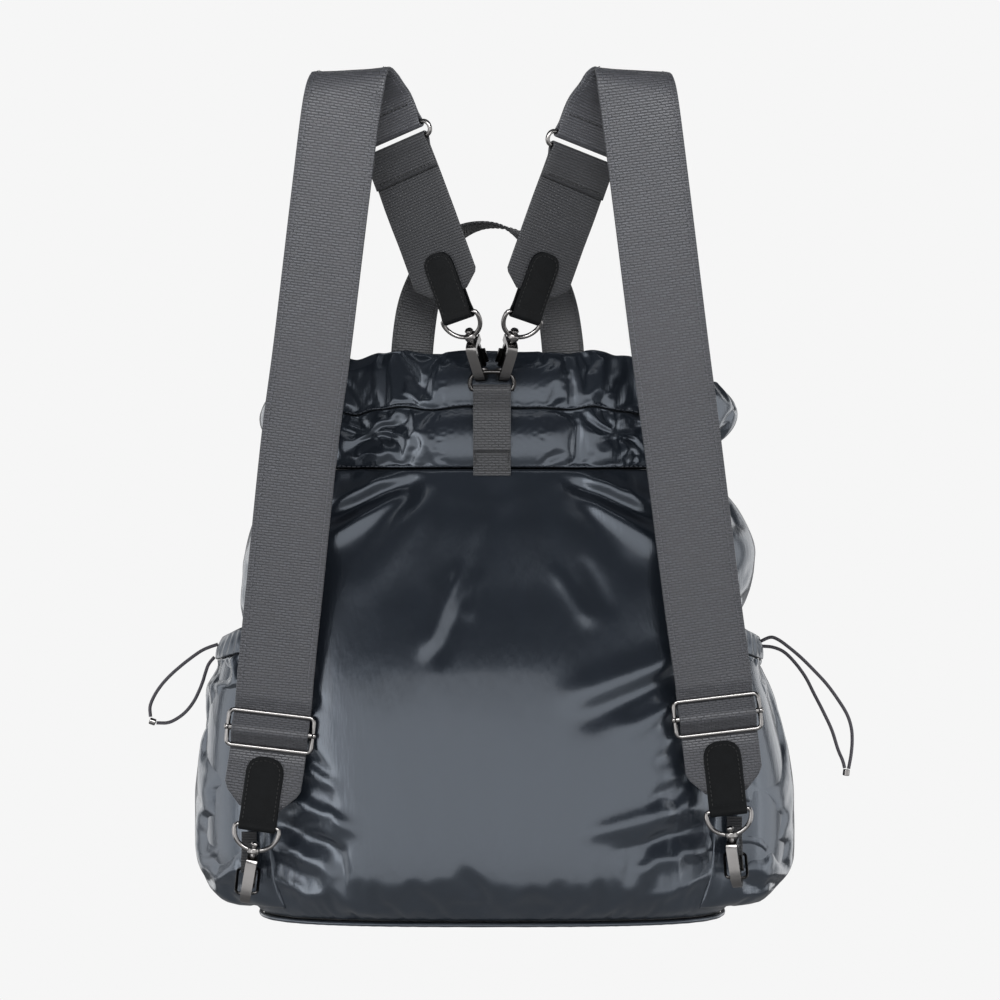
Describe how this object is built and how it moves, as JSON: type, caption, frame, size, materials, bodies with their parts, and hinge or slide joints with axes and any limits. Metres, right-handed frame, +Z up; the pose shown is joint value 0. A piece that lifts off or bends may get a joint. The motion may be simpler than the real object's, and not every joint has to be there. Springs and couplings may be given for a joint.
{
  "type": "quilted puffer backpack",
  "caption": "Soft padded drawstring backpack with a gathered two-tier collar, side pockets with cord cuffs, wide webbing straps, leather tabs and swivel hooks.",
  "frame": {"origin": "midway between the undersides of the tops of the two shoulder straps, where the pack hangs", "axes": "+Z up along the hanging pack, +X to the right as the harness side is looked at, +Y from the harness side through the bag to its front"},
  "size_m": [0.4769, 0.2154, 0.5606],
  "materials": {
    "puffer_nylon": "glossy slate-grey nylon shell over thin wadding",
    "trim_nylon": "darker matt nylon of the cuffs, base and piping",
    "webbing": "grey herringbone webbing with a slight sheen",
    "dark_webbing": "charcoal webbing and tape",
    "tab_leather": "black smooth-grain leather with stitched edges",
    "gunmetal": "polished gunmetal plating",
    "black_metal": "black plated metal",
    "cord": "grey braided elastic cord"
  },
  "bodies": {
    "pack": {"body_shell": "puffer_nylon", "base_panel": "trim_nylon", "base_piping": "trim_nylon", "collar_lower": "puffer_nylon", "collar_upper": "puffer_nylon", "pocket_left": "puffer_nylon", "pocket_cuff_left": "trim_nylon", "pocket_right": "puffer_nylon", "pocket_cuff_right": "trim_nylon", "center_ring": "black_metal", "hook_body_upper_left": "gunmetal", "hook_eye_upper_left": "gunmetal", "tab_upper_left": "tab_leather", "strap_left": "webbing", "short_strap_left": "dark_webbing", "slider_left": "gunmetal", "ring_left": "gunmetal", "tab_lower_left": "tab_leather", "hook_eye_lower_left": "gunmetal", "hook_body_lower_left": "gunmetal", "hook_body_upper_right": "gunmetal", "hook_eye_upper_right": "gunmetal", "tab_upper_right": "tab_leather", "strap_right": "webbing", "short_strap_right": "dark_webbing", "slider_right": "gunmetal", "ring_right": "gunmetal", "tab_lower_right": "tab_leather", "hook_eye_lower_right": "gunmetal", "hook_body_lower_right": "gunmetal", "center_tape": "dark_webbing", "corner_ring_left": "black_metal", "corner_tape_left": "dark_webbing", "corner_ring_right": "black_metal", "corner_tape_right": "dark_webbing", "grab_handle": "dark_webbing", "cord_left_upper": "cord", "cord_left_lower": "cord", "cord_right_upper": "cord", "cord_right_lower": "cord", "crimp_left": "gunmetal", "crimp_right": "gunmetal"},
    "gate_lower_left": {"hook_gate_lower_left": "black_metal"},
    "gate_lower_right": {"hook_gate_lower_right": "black_metal"},
    "gate_upper_left": {"hook_gate_upper_left": "black_metal"},
    "gate_upper_right": {"hook_gate_upper_right": "black_metal"}
  },
  "joints": [
    {"name": "gate_lower_left_hinge", "type": "hinge", "parent": "pack", "child": "gate_lower_left", "pos_m": [-0.15654, 0.04023, -0.50589], "axis": [-0.9845, -0.0215, 0.1739], "range_deg": [0, 10], "stiffness_Nm_per_rad": 0.004},
    {"name": "gate_lower_right_hinge", "type": "hinge", "parent": "pack", "child": "gate_lower_right", "pos_m": [0.15837, 0.04007, -0.49545], "axis": [-0.9668, 0.2246, -0.1217], "range_deg": [0, 10], "stiffness_Nm_per_rad": 0.004},
    {"name": "gate_upper_left_hinge", "type": "hinge", "parent": "pack", "child": "gate_upper_left", "pos_m": [-0.01104, 0.04123, -0.16551], "axis": [-0.9528, 0.296, -0.0672], "range_deg": [0, 10], "stiffness_Nm_per_rad": 0.004},
    {"name": "gate_upper_right_hinge", "type": "hinge", "parent": "pack", "child": "gate_upper_right", "pos_m": [0.01104, 0.04123, -0.16551], "axis": [-0.9528, -0.296, 0.0672], "range_deg": [0, 10], "stiffness_Nm_per_rad": 0.004}
  ]
}
